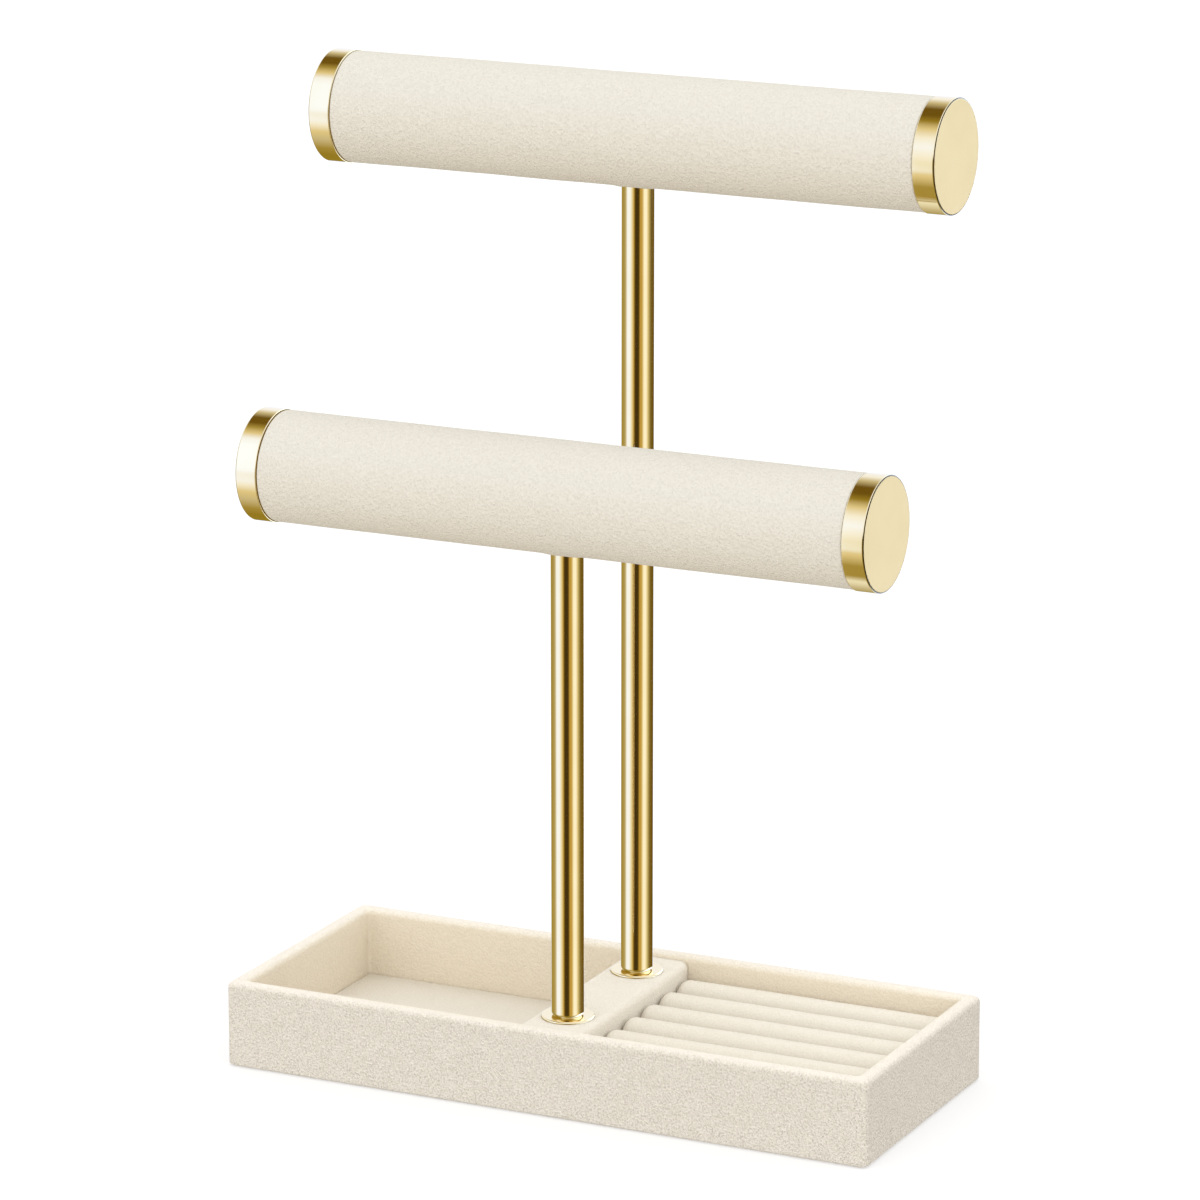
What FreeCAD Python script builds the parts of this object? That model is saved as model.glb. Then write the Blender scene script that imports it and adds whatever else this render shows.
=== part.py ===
import FreeCAD, Part
import math
import os

import Sketcher
from FreeCAD import Placement, Rotation, Vector

# A two-tier bracelet holder: a velvet tray with a block across its middle, two metal posts of
# different height on that block, and a velvet bar with metal end caps swivelling on each post.
# Frame: X along the bars, Y from front to back, Z up, origin under the middle of the tray. Millimetres.

DRIVING_SIZES = {
    # Tray, over its velvet
    "tray_length": 216.0,
    "tray_depth": 90.0,
    "tray_height": 27.3,
    "corner_radius": 2.0,
    "inner_corner_radius": 1.2,
    "rim_radius": 1.8,
    "velvet_thick": 0.8,
    "wall_board_thick": 3.6,
    "floor_board_thick": 4.0,
    "base_pad_thick": 0.6,
    "base_pad_inset": 1.0,
    "lining_thick": 1.2,
    # Block that carries the posts, over its velvet
    "block_width": 21.5,
    "block_drop": 1.6,
    "block_edge_radius": 2.4,
    # Ring rolls on their board
    "roll_count": 6,
    "roll_drop": 5.5,
    "roll_gap": 0.4,
    "roll_foot_inset": 0.9,
    "roll_end_radius": 3.0,
    "roll_end_gap": 0.4,
    "ring_board_thick": 4.0,
    # Posts and what holds them
    "post_setback": 20.4,
    "post_diameter": 10.0,
    "post_wall": 1.0,
    "post_foot_radius": 1.2,
    "flange_rim": 3.25,
    "flange_thick": 0.8,
    "flange_edge_radius": 0.5,
    "plug_length": 14.0,
    "screw_diameter": 5.0,
    "screw_head_rim": 2.0,
    "screw_head_height": 2.4,
    "screw_head_chamfer": 0.8,
    "screw_grip": 11.0,
    "washer_rim": 2.6,
    "washer_thick": 1.0,
    "access_hole_rim": 4.0,
    "stud_diameter": 5.0,
    "stud_grip": 10.0,
    "stud_reach": 10.0,
    # Bars, over their velvet
    "lower_bar_height": 188.7,
    "upper_bar_height": 292.0,
    "bar_length": 207.0,
    "bar_diameter": 34.4,
    "bar_velvet_thick": 0.8,
    "core_wall": 2.0,
    "cap_depth": 7.0,
    "cap_proud": 0.3,
    "cap_face_thick": 1.2,
    "cap_edge_radius": 0.5,
    "cap_gap": 0.2,
    "seat_drop": 4.0,
    "saddle_length": 26.0,
    "nut_wall": 1.8,
    "nut_length": 8.0,
    # Clearances: glued or pressed pieces, stud in nut, post in socket, loose holes
    "fit_gap": 0.05,
    "running_gap": 0.08,
    "socket_gap": 0.2,
    "hole_gap": 0.3,
}

# Largest part of the room beside it that a rounded or bevelled edge may take
ROUND_LIMIT_SHARE = 0.9
# Two coordinates that differ by less are the same place
SAME_PLACE = 1e-6

DERIVED_SIZES = {
    "tray_half_length": "tray_length / 2",
    "tray_half_depth": "tray_depth / 2",
    "tray_straight_half_length": "tray_half_length - corner_radius",
    "tray_straight_half_depth": "tray_half_depth - corner_radius",
    "wall_thick": "wall_board_thick + 2 * velvet_thick",
    "rim_round": f"min(rim_radius; {ROUND_LIMIT_SHARE} * min(corner_radius; wall_thick / 2))",
    "well_half_length": "tray_half_length - wall_thick",
    "well_half_depth": "tray_half_depth - wall_thick",
    "well_straight_half_length": "well_half_length - inner_corner_radius",
    "well_straight_half_depth": "well_half_depth - inner_corner_radius",
    "well_depth": "2 * well_half_depth",
    "board_corner_radius": "corner_radius - velvet_thick",
    "board_half_length": "tray_half_length - velvet_thick",
    "board_half_depth": "tray_half_depth - velvet_thick",
    "board_inner_half_length": "well_half_length + velvet_thick",
    "board_inner_half_depth": "well_half_depth + velvet_thick",
    "end_board_depth": "2 * board_inner_half_depth",
    "floor_top": "base_pad_thick + floor_board_thick",
    "wall_board_height": "tray_height - velvet_thick - floor_top",
    "wall_board_reach": "floor_board_thick + wall_board_height",
    "tray_velvet_height": "tray_height - base_pad_thick",
    "base_pad_half_length": "tray_half_length - base_pad_inset",
    "base_pad_half_depth": "tray_half_depth - base_pad_inset",
    "base_pad_straight_half_length": "base_pad_half_length - corner_radius",
    "base_pad_straight_half_depth": "base_pad_half_depth - corner_radius",
    "block_half_width": "block_width / 2",
    "block_top": "tray_height - block_drop",
    "block_round": f"min(block_edge_radius; {ROUND_LIMIT_SHARE} * block_half_width)",
    "block_straight_half_width": "block_half_width - block_round",
    "block_shoulder": "block_top - block_round",
    "block_core_half_width": "block_half_width - velvet_thick",
    "block_core_top": "block_top - velvet_thick",
    "half_well_length": "well_half_length - block_half_width",
    "half_well_middle": "(well_half_length + block_half_width) / 2",
    "liner_half_depth": "well_half_depth - fit_gap",
    "liner_far_edge": "well_half_length - fit_gap",
    "liner_near_edge": "block_half_width + fit_gap",
    "liner_corner_radius": "inner_corner_radius - fit_gap",
    "roll_seat": "floor_top + ring_board_thick",
    "roll_height": "tray_height - roll_drop - roll_seat",
    "roll_pitch": "well_depth / roll_count",
    "roll_half_width": "(roll_pitch - roll_gap) / 2",
    "roll_crown_radius": f"min(roll_half_width; {ROUND_LIMIT_SHARE} * roll_height)",
    "roll_crown_half_flat": "roll_half_width - roll_crown_radius",
    "roll_shoulder": "roll_height - roll_crown_radius",
    "roll_foot_half_width": "roll_half_width - roll_foot_inset",
    "roll_side_radius": "(roll_shoulder ^ 2 + roll_foot_inset ^ 2) / (2 * roll_foot_inset)",
    "roll_length": "half_well_length - 2 * roll_end_gap",
    "roll_end_round": f"min(roll_end_radius; {ROUND_LIMIT_SHARE} * roll_crown_radius)",
    "post_half_spacing": "tray_half_depth - post_setback",
    "post_radius": "post_diameter / 2",
    "post_bore_radius": "post_radius - post_wall",
    "screw_radius": "screw_diameter / 2",
    "screw_hole_radius": "screw_radius + hole_gap",
    "foot_round": f"min(post_foot_radius; {ROUND_LIMIT_SHARE} * (post_radius - screw_hole_radius))",
    "foot_flat_radius": "post_radius - foot_round",
    "foot_thick": "post_wall",
    "flange_radius": "post_radius + flange_rim",
    "flange_round": f"min(flange_edge_radius; {ROUND_LIMIT_SHARE} * flange_thick)",
    "flange_flat_radius": "flange_radius - flange_round",
    "flange_shoulder": "flange_thick - flange_round",
    "flange_top": "block_top + flange_thick",
    "plug_seat": "flange_top + foot_thick",
    "plug_radius": "post_bore_radius - fit_gap",
    "plug_screw_radius": "screw_radius + fit_gap",
    "plug_stud_radius": "stud_radius + fit_gap",
    "stud_radius": "stud_diameter / 2",
    "washer_radius": "screw_radius + washer_rim",
    "washer_seat": "floor_top - washer_thick",
    "screw_head_radius": "screw_radius + screw_head_rim",
    "screw_head_bevel": f"min(screw_head_chamfer; {ROUND_LIMIT_SHARE} * screw_head_height)",
    "screw_head_flat_radius": "screw_head_radius - screw_head_bevel",
    "screw_head_shoulder": "screw_head_height - screw_head_bevel",
    "screw_length": "plug_seat + screw_grip - washer_seat",
    "access_hole_radius": "screw_radius + access_hole_rim",
    "lower_seat_height": "lower_bar_height - seat_drop",
    "upper_seat_height": "upper_bar_height - seat_drop",
    "front_post_length": "lower_seat_height - flange_top",
    "rear_post_length": "upper_seat_height - flange_top",
    "bar_half_length": "bar_length / 2",
    "bar_radius": "bar_diameter / 2",
    "sleeve_half_length": "bar_half_length - cap_depth - cap_gap",
    "sleeve_bore_radius": "bar_radius - bar_velvet_thick",
    "core_radius": "sleeve_bore_radius - fit_gap",
    "core_bore_radius": "core_radius - core_wall",
    "core_half_length": "bar_half_length - cap_face_thick",
    "cap_radius": "bar_radius + cap_proud",
    "cap_bore_radius": "core_radius + fit_gap",
    "cap_round": f"min(cap_edge_radius; {ROUND_LIMIT_SHARE} * cap_face_thick)",
    "cap_flat_radius": "cap_radius - cap_round",
    "cap_shoulder": "bar_half_length - cap_round",
    "cap_mouth": "bar_half_length - cap_depth",
    "saddle_radius": "core_bore_radius - fit_gap",
    "socket_radius": "post_radius + socket_gap",
    "post_hole_radius": "post_radius + hole_gap",
    "nut_bore_radius": "stud_radius + running_gap",
    "nut_radius": "nut_bore_radius + nut_wall",
    "nut_pocket_radius": "nut_radius + fit_gap",
    "stud_room_radius": "stud_radius + hole_gap",
    "stud_room_length": "stud_reach + hole_gap",
}

HALF_TURN = Placement(Vector(), Rotation(Vector(0, 0, 1), 180))

document = FreeCAD.newDocument("BraceletHolder")
sheet = document.addObject("Spreadsheet::Sheet", "Sizes")
sub_parts = []


def fill_sheet():
    """Write the driving numbers and the formulas that follow from them, one named cell each."""
    rows = [(name, str(number)) for name, number in DRIVING_SIZES.items()]
    rows += [(name, "=" + text) for name, text in DERIVED_SIZES.items()]
    for row, (name, _) in enumerate(rows, start=1):
        sheet.set(f"A{row}", name)
        sheet.setAlias(f"B{row}", name)
    for row, (_, content) in enumerate(rows, start=1):
        sheet.set(f"B{row}", content)
    document.recompute()


def value(term):
    """Number behind a term: a cell's name, its negative, or zero."""
    if term == "0":
        return 0.0
    if term.startswith("-"):
        return -value(term[1:])
    return float(sheet.get(term))


def formula(term):
    """A term as an expression that points at its cell."""
    if term.startswith("-"):
        return "-" + formula(term[1:])
    return "Sizes." + term


def bind(item, property_path, term):
    """Tie one property of an item to a cell."""
    if term != "0":
        item.setExpression(property_path, formula(term))


def place(item, x="0", y="0", z="0"):
    """Tie an item's position to cells."""
    bind(item, "Placement.Base.x", x)
    bind(item, "Placement.Base.y", y)
    bind(item, "Placement.Base.z", z)


def keep(item):
    """Count a finished item among the sub-parts that are written out."""
    sub_parts.append(item)
    return item


def new_body(label):
    body = document.addObject("PartDesign::Body", label)
    body.Label = label
    return keep(body)


def new_sketch(body, name, plane_role, height="0"):
    """A sketch on one of the body's own origin planes, lifted off it by a cell's height."""
    planes = [feature for feature in body.Origin.OriginFeatures if feature.Role == plane_role]
    sketch = body.newObject("Sketcher::SketchObject", name)
    sketch.AttachmentSupport = [(planes[0], "")]
    sketch.MapMode = "FlatFace"
    bind(sketch, "AttachmentOffset.Base.z", height)
    return sketch


def constrain(sketch, kind, elements, term):
    """Add one dimension to a sketch and tie it to a cell."""
    index = sketch.addConstraint(Sketcher.Constraint(kind, *elements, value(term)))
    bind(sketch, f"Constraints[{index}]", term)


def arc_between(start, end, radius):
    """Arc of under half a circle from start to end, counter-clockwise."""
    chord = end - start
    middle = (start + end) / 2
    rise = math.sqrt(max(radius**2 - (chord.Length / 2) ** 2, 0))
    inward = Vector(-chord.y, chord.x, 0).normalize()
    center = middle + inward * rise
    angles = [math.atan2(point.y - center.y, point.x - center.x) for point in (start, end)]
    return Part.ArcOfCircle(Part.Circle(center, Vector(0, 0, 1), radius), angles[0], angles[1])


def draw_outline(sketch, corners, arcs=None):
    """Closed counter-clockwise outline. arcs gives the radius of the edges that leave those corners."""
    arcs = arcs or {}
    points = [Vector(value(x), value(y), 0) for x, y in corners]
    first = sketch.GeometryCount
    count = len(points)
    for index, start in enumerate(points):
        end = points[(index + 1) % count]
        if index in arcs:
            edge = arc_between(start, end, value(arcs[index]))
        else:
            edge = Part.LineSegment(start, end)
        sketch.addGeometry(edge, False)
    for index in range(count):
        following = first + (index + 1) % count
        sketch.addConstraint(Sketcher.Constraint("Coincident", first + index, 2, following, 1))
    for index, (x, y) in enumerate(corners):
        constrain(sketch, "DistanceX", (-1, 1, first + index, 1), x)
        constrain(sketch, "DistanceY", (-1, 1, first + index, 1), y)
    for index, radius in arcs.items():
        constrain(sketch, "Radius", (first + index,), radius)


def box_corners(left, low, right, high):
    """Corners of an upright rectangle."""
    return [(left, low), (right, low), (right, high), (left, high)]


def draw_rounded_rectangle(sketch, half_x, half_y, straight_x, straight_y, radius):
    corners = [
        ("-" + straight_x, "-" + half_y),
        (straight_x, "-" + half_y),
        (half_x, "-" + straight_y),
        (half_x, straight_y),
        (straight_x, half_y),
        ("-" + straight_x, half_y),
        ("-" + half_x, straight_y),
        ("-" + half_x, "-" + straight_y),
    ]
    draw_outline(sketch, corners, {1: radius, 3: radius, 5: radius, 7: radius})


def draw_circle(sketch, radius, y="0"):
    """Circle on the sketch's vertical axis."""
    center = Vector(0, value(y), 0)
    index = sketch.addGeometry(Part.Circle(center, Vector(0, 0, 1), value(radius)), False)
    constrain(sketch, "DistanceX", (-1, 1, index, 3), "0")
    constrain(sketch, "DistanceY", (-1, 1, index, 3), y)
    constrain(sketch, "Radius", (index,), radius)


def draw_post_circles(sketch, radius):
    """One circle under each post."""
    draw_circle(sketch, radius, "-post_half_spacing")
    draw_circle(sketch, radius, "post_half_spacing")


def add_pad(body, sketch, length, symmetric=False):
    pad = body.newObject("PartDesign::Pad", body.Name + "_pad")
    pad.Profile = sketch
    pad.SideType = "Symmetric" if symmetric else "One side"
    bind(pad, "Length", length)
    document.recompute()
    return pad


def add_pocket(body, sketch, length=None, upward=False):
    """Cut a sketch out of a body, right through it unless a length is given, and see that it cut."""
    volume_before = body.Shape.Volume
    pocket = body.newObject("PartDesign::Pocket", body.Name + "_pocket")
    pocket.Profile = sketch
    pocket.Reversed = upward
    if length:
        bind(pocket, "Length", length)
    else:
        pocket.Type = "ThroughAll"
    document.recompute()
    if body.Shape.Volume >= volume_before:
        raise RuntimeError(f"{pocket.Label} cuts nothing")


def add_fillet(body, base, edge_wanted, radius):
    """Round the edges of a feature that the given test picks."""
    names = [f"Edge{index}" for index, edge in enumerate(base.Shape.Edges, start=1) if edge_wanted(edge)]
    fillet = body.newObject("PartDesign::Fillet", body.Name + "_fillet")
    fillet.Base = (base, names)
    bind(fillet, "Radius", radius)
    document.recompute()


def turned_body(label, corners, arcs=None, axis="V_Axis"):
    """A body turned about one axis of its own sketch."""
    body = new_body(label)
    sketch = new_sketch(body, label + "_profile", "XZ_Plane")
    draw_outline(sketch, corners, arcs)
    turn = body.newObject("PartDesign::Revolution", label + "_turn")
    turn.Profile = sketch
    turn.ReferenceAxis = (sketch, [axis])
    document.recompute()
    return body


def turned_bush(label, bore_radius, radius, length):
    """Plain ring or bush that stands on its own origin."""
    return turned_body(label, box_corners(bore_radius, "0", radius, length))


def on_level(edge, level):
    """Does an edge lie in the horizontal plane at that height?"""
    box = edge.BoundBox
    return abs(box.ZMin - level) < SAME_PLACE and abs(box.ZMax - level) < SAME_PLACE


def make_board(label, size, low_corner):
    """Plain rectangular board, given by its three sizes and its lowest corner."""
    box = document.addObject("Part::Box", label)
    box.Label = label
    for side, term in zip(("Length", "Width", "Height"), size):
        bind(box, side, term)
    place(box, *low_corner)
    keep(box)


# Tray: pad, boards and the velvet drawn over them


def make_base_pad():
    body = new_body("base_pad")
    sketch = new_sketch(body, "base_pad_outline", "XY_Plane")
    draw_rounded_rectangle(
        sketch,
        "base_pad_half_length",
        "base_pad_half_depth",
        "base_pad_straight_half_length",
        "base_pad_straight_half_depth",
        "corner_radius",
    )
    draw_post_circles(sketch, "access_hole_radius")
    add_pad(body, sketch, "base_pad_thick")


def draw_board_outline(sketch):
    """Outer outline of the tray's boards, parallel to that of the velvet over them."""
    draw_rounded_rectangle(
        sketch,
        "board_half_length",
        "board_half_depth",
        "tray_straight_half_length",
        "tray_straight_half_depth",
        "board_corner_radius",
    )


def make_tray_floor():
    body = new_body("tray_floor")
    sketch = new_sketch(body, "tray_floor_outline", "XY_Plane")
    draw_board_outline(sketch)
    draw_post_circles(sketch, "access_hole_radius")
    add_pad(body, sketch, "floor_board_thick")
    place(body, z="base_pad_thick")


def make_long_wall(label, half_turn):
    """Front or back wall board, with the tray's rounded corners at its outer ends."""
    body = new_body(label)
    sketch = new_sketch(body, label + "_outline", "XY_Plane")
    corners = [
        ("-tray_straight_half_length", "-board_half_depth"),
        ("tray_straight_half_length", "-board_half_depth"),
        ("board_half_length", "-tray_straight_half_depth"),
        ("board_half_length", "-board_inner_half_depth"),
        ("-board_half_length", "-board_inner_half_depth"),
        ("-board_half_length", "-tray_straight_half_depth"),
    ]
    draw_outline(sketch, corners, {1: "board_corner_radius", 5: "board_corner_radius"})
    add_pad(body, sketch, "wall_board_height")
    if half_turn:
        body.Placement = HALF_TURN
    place(body, z="floor_top")


def make_end_walls():
    """Left and right wall boards, between the two long walls."""
    size = ("wall_board_thick", "end_board_depth", "wall_board_height")
    front, low = "-board_inner_half_depth", "floor_top"
    make_board("tray_left_wall", size, ("-board_half_length", front, low))
    make_board("tray_right_wall", size, ("board_inner_half_length", front, low))


def make_tray_velvet():
    """One skin over the outside, rim and inside of the walls, open below for the boards."""
    body = new_body("tray_velvet")
    sketch = new_sketch(body, "tray_velvet_outline", "XY_Plane")
    draw_rounded_rectangle(
        sketch,
        "tray_half_length",
        "tray_half_depth",
        "tray_straight_half_length",
        "tray_straight_half_depth",
        "corner_radius",
    )
    draw_rounded_rectangle(
        sketch,
        "well_half_length",
        "well_half_depth",
        "well_straight_half_length",
        "well_straight_half_depth",
        "inner_corner_radius",
    )
    wall = add_pad(body, sketch, "tray_velvet_height")
    rim = value("tray_velvet_height")
    add_fillet(body, wall, lambda edge: on_level(edge, rim), "rim_round")
    floor_room = new_sketch(body, "floor_room", "XY_Plane")
    draw_board_outline(floor_room)
    add_pocket(body, floor_room, "floor_board_thick", upward=True)
    wall_room = new_sketch(body, "wall_room", "XY_Plane")
    draw_board_outline(wall_room)
    inner_x, inner_y = "board_inner_half_length", "board_inner_half_depth"
    draw_outline(wall_room, box_corners("-" + inner_x, "-" + inner_y, inner_x, inner_y))
    add_pocket(body, wall_room, "wall_board_reach", upward=True)
    place(body, z="base_pad_thick")


def make_tray():
    make_base_pad()
    make_tray_floor()
    make_long_wall("tray_front_wall", half_turn=False)
    make_long_wall("tray_back_wall", half_turn=True)
    make_end_walls()
    make_tray_velvet()


# Block across the tray, lining of the open half, and rolls in the other half


def make_post_block():
    body = new_body("post_block")
    sketch = new_sketch(body, "post_block_section", "XZ_Plane")
    half = "block_core_half_width"
    draw_outline(sketch, box_corners("-" + half, "floor_top", half, "block_core_top"))
    add_pad(body, sketch, "well_depth", symmetric=True)
    holes = new_sketch(body, "post_block_holes", "XY_Plane", "block_core_top")
    draw_post_circles(holes, "screw_hole_radius")
    add_pocket(body, holes)


def make_post_block_velvet():
    """Velvet over the block's top and down both its sides, with rounded upper edges."""
    body = new_body("post_block_velvet")
    sketch = new_sketch(body, "post_block_velvet_section", "XZ_Plane")
    outer, inner, straight = "block_half_width", "block_core_half_width", "block_straight_half_width"
    corners = [
        (inner, "floor_top"),
        (outer, "floor_top"),
        (outer, "block_shoulder"),
        (straight, "block_top"),
        ("-" + straight, "block_top"),
        ("-" + outer, "block_shoulder"),
        ("-" + outer, "floor_top"),
        ("-" + inner, "floor_top"),
        ("-" + inner, "block_core_top"),
        (inner, "block_core_top"),
    ]
    draw_outline(sketch, corners, {2: "block_round", 4: "block_round"})
    add_pad(body, sketch, "well_depth", symmetric=True)
    holes = new_sketch(body, "post_block_velvet_holes", "XY_Plane", "block_top")
    draw_post_circles(holes, "screw_hole_radius")
    add_pocket(body, holes)


def make_liner(label, thick, half_turn):
    """Board on the floor of one half of the tray, with round corners where it meets the tray's end."""
    body = new_body(label)
    sketch = new_sketch(body, label + "_outline", "XY_Plane")
    corners = [
        ("liner_near_edge", "-liner_half_depth"),
        ("well_straight_half_length", "-liner_half_depth"),
        ("liner_far_edge", "-well_straight_half_depth"),
        ("liner_far_edge", "well_straight_half_depth"),
        ("well_straight_half_length", "liner_half_depth"),
        ("liner_near_edge", "liner_half_depth"),
    ]
    draw_outline(sketch, corners, {1: "liner_corner_radius", 3: "liner_corner_radius"})
    add_pad(body, sketch, thick)
    if half_turn:
        body.Placement = HALF_TURN
    place(body, z="floor_top")


def make_ring_roll(index, count):
    """Soft roll along X: crowned top, sides drawn in to a narrower foot, rounded ends."""
    label = f"ring_roll_{index + 1}"
    body = new_body(label)
    sketch = new_sketch(body, label + "_section", "YZ_Plane")
    wide, foot, flat = "roll_half_width", "roll_foot_half_width", "roll_crown_half_flat"
    corners = [("-" + foot, "0"), (foot, "0"), (wide, "roll_shoulder")]
    arcs = {1: "roll_side_radius", 2: "roll_crown_radius"}
    if value(flat) > 0:
        corners += [(flat, "roll_height"), ("-" + flat, "roll_height")]
        arcs[4] = "roll_crown_radius"
    else:
        corners += [("0", "roll_height")]
        arcs[3] = "roll_crown_radius"
    corners += [("-" + wide, "roll_shoulder")]
    arcs[len(corners) - 1] = "roll_side_radius"
    draw_outline(sketch, corners, arcs)
    roll = add_pad(body, sketch, "roll_length", symmetric=True)
    end = value("roll_length") / 2

    def is_end_edge(edge):
        """Does an edge, other than the foot's, bound one of the roll's ends?"""
        box = edge.BoundBox
        at_end = abs(abs(box.Center.x) - end) < SAME_PLACE
        return at_end and box.ZMax > SAME_PLACE

    add_fillet(body, roll, is_end_edge, "roll_end_round")
    place(body, x="half_well_middle", z="roll_seat")
    steps_from_middle = 2 * index + 1 - count
    body.setExpression("Placement.Base.y", f"Sizes.roll_pitch * {steps_from_middle} / 2")


def make_inlays():
    make_post_block()
    make_post_block_velvet()
    make_liner("compartment_lining", "lining_thick", half_turn=True)
    make_liner("ring_board", "ring_board_thick", half_turn=False)
    count = int(value("roll_count"))
    for index in range(count):
        make_ring_roll(index, count)


# Posts, with the pieces that hold them to the block and carry the bars


def make_flange(stand, y):
    corners = [
        ("screw_hole_radius", "0"),
        ("flange_radius", "0"),
        ("flange_radius", "flange_shoulder"),
        ("flange_flat_radius", "flange_thick"),
        ("screw_hole_radius", "flange_thick"),
    ]
    flange = turned_body(stand + "_flange", corners, {2: "flange_round"})
    place(flange, y=y, z="block_top")


def make_post(stand, y, length):
    """Tube whose foot is rolled in to a flat lip round the screw."""
    corners = [
        ("screw_hole_radius", "0"),
        ("foot_flat_radius", "0"),
        ("post_radius", "foot_round"),
        ("post_radius", length),
        ("post_bore_radius", length),
        ("post_bore_radius", "foot_thick"),
        ("screw_hole_radius", "foot_thick"),
    ]
    post = turned_body(stand + "_post", corners, {1: "foot_round"})
    place(post, y=y, z="flange_top")


def make_plugs(stand, y, seat_height):
    foot_plug = turned_bush(stand + "_foot_plug", "plug_screw_radius", "plug_radius", "plug_length")
    place(foot_plug, y=y, z="plug_seat")
    top_plug = turned_bush(stand + "_top_plug", "plug_stud_radius", "plug_radius", "plug_length")
    place(top_plug, y=y)
    top_plug.setExpression("Placement.Base.z", f"{formula(seat_height)} - Sizes.plug_length")


def make_stud(stand, y, seat_height):
    stud = turned_body(stand + "_stud", box_corners("0", "-stud_grip", "stud_radius", "stud_reach"))
    place(stud, y=y, z=seat_height)


def make_base_fastener(stand, y):
    """Screw and washer under the block, reached through the floor."""
    washer = turned_bush(stand + "_base_washer", "screw_hole_radius", "washer_radius", "washer_thick")
    place(washer, y=y, z="washer_seat")
    corners = [
        ("0", "-screw_head_height"),
        ("screw_head_flat_radius", "-screw_head_height"),
        ("screw_head_radius", "-screw_head_shoulder"),
        ("screw_head_radius", "0"),
        ("screw_radius", "0"),
        ("screw_radius", "screw_length"),
        ("0", "screw_length"),
    ]
    screw = turned_body(stand + "_base_screw", corners)
    place(screw, y=y, z="washer_seat")


def make_stand(stand, y, length, seat_height):
    make_flange(stand, y)
    make_post(stand, y, length)
    make_plugs(stand, y, seat_height)
    make_stud(stand, y, seat_height)
    make_base_fastener(stand, y)


# Bars: core tube, velvet sleeve, end caps, and the saddle and nut that take the post and its stud


def make_tube(label, half_length, bore_radius, radius, y, z):
    """Tube along X with a hole below its middle for the post."""
    corners = box_corners("-" + half_length, bore_radius, half_length, radius)
    tube = turned_body(label, corners, axis="H_Axis")
    hole = new_sketch(tube, label + "_hole", "XY_Plane")
    draw_circle(hole, "post_hole_radius")
    add_pocket(tube, hole)
    place(tube, y=y, z=z)


def make_cap(label, half_turn, y, z):
    """Shallow cup over the core's end, with a flat face and a narrow rounded edge."""
    corners = [
        ("core_half_length", "0"),
        ("bar_half_length", "0"),
        ("bar_half_length", "cap_flat_radius"),
        ("cap_shoulder", "cap_radius"),
        ("cap_mouth", "cap_radius"),
        ("cap_mouth", "cap_bore_radius"),
        ("core_half_length", "cap_bore_radius"),
    ]
    cap = turned_body(label, corners, {2: "cap_round"}, axis="H_Axis")
    if half_turn:
        cap.Placement = HALF_TURN
    place(cap, y=y, z=z)


def make_saddle(label, y, z):
    """Plug in the core with a socket below for the post, and room above it for the nut and stud."""
    body = new_body(label)
    sketch = new_sketch(body, label + "_section", "YZ_Plane")
    draw_circle(sketch, "saddle_radius")
    add_pad(body, sketch, "saddle_length", symmetric=True)
    cuts = (("socket", "socket_radius", None), ("nut_room", "nut_pocket_radius", "nut_length"))
    cuts += (("stud_room", "stud_room_radius", "stud_room_length"),)
    for name, radius, length in cuts:
        cut = new_sketch(body, f"{label}_{name}", "XY_Plane", "-seat_drop")
        draw_circle(cut, radius)
        add_pocket(body, cut, length, upward=length is not None)
    place(body, y=y, z=z)


def make_bar(bar, y, z, seat_height):
    make_tube(bar + "_core", "core_half_length", "core_bore_radius", "core_radius", y, z)
    make_tube(bar + "_velvet", "sleeve_half_length", "sleeve_bore_radius", "bar_radius", y, z)
    make_cap(bar + "_left_cap", True, y, z)
    make_cap(bar + "_right_cap", False, y, z)
    make_saddle(bar + "_saddle", y, z)
    nut = turned_bush(bar + "_nut", "nut_bore_radius", "nut_radius", "nut_length")
    place(nut, y=y, z=seat_height)


def check_model():
    """Stop if any item failed to build, or a sub-part has no sound solid."""
    for item in document.Objects:
        faults = [state for state in item.State if state in ("Invalid", "Error")]
        if faults:
            raise RuntimeError(f"{item.Label} is {faults}")
    for item in sub_parts:
        if item.Shape.isNull() or not item.Shape.isValid() or not item.Shape.Solids:
            raise RuntimeError(f"{item.Label} has no sound solid")


def write_parts():
    os.makedirs("parts", exist_ok=True)
    for item in sub_parts:
        item.Shape.exportStep(f"parts/{item.Label}.step")


fill_sheet()
make_tray()
make_inlays()
make_stand("front", "-post_half_spacing", "front_post_length", "lower_seat_height")
make_stand("rear", "post_half_spacing", "rear_post_length", "upper_seat_height")
make_bar("lower_bar", "-post_half_spacing", "lower_bar_height", "lower_seat_height")
make_bar("upper_bar", "post_half_spacing", "upper_bar_height", "upper_seat_height")
document.recompute()
check_model()
write_parts()
print(f"{len(sub_parts)} sub-parts written")
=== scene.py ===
"""Looks of a two-tier bracelet holder: velvet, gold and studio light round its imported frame.

All lengths are in metres.
"""

import math

import bmesh
import bpy
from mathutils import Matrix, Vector, noise


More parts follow.
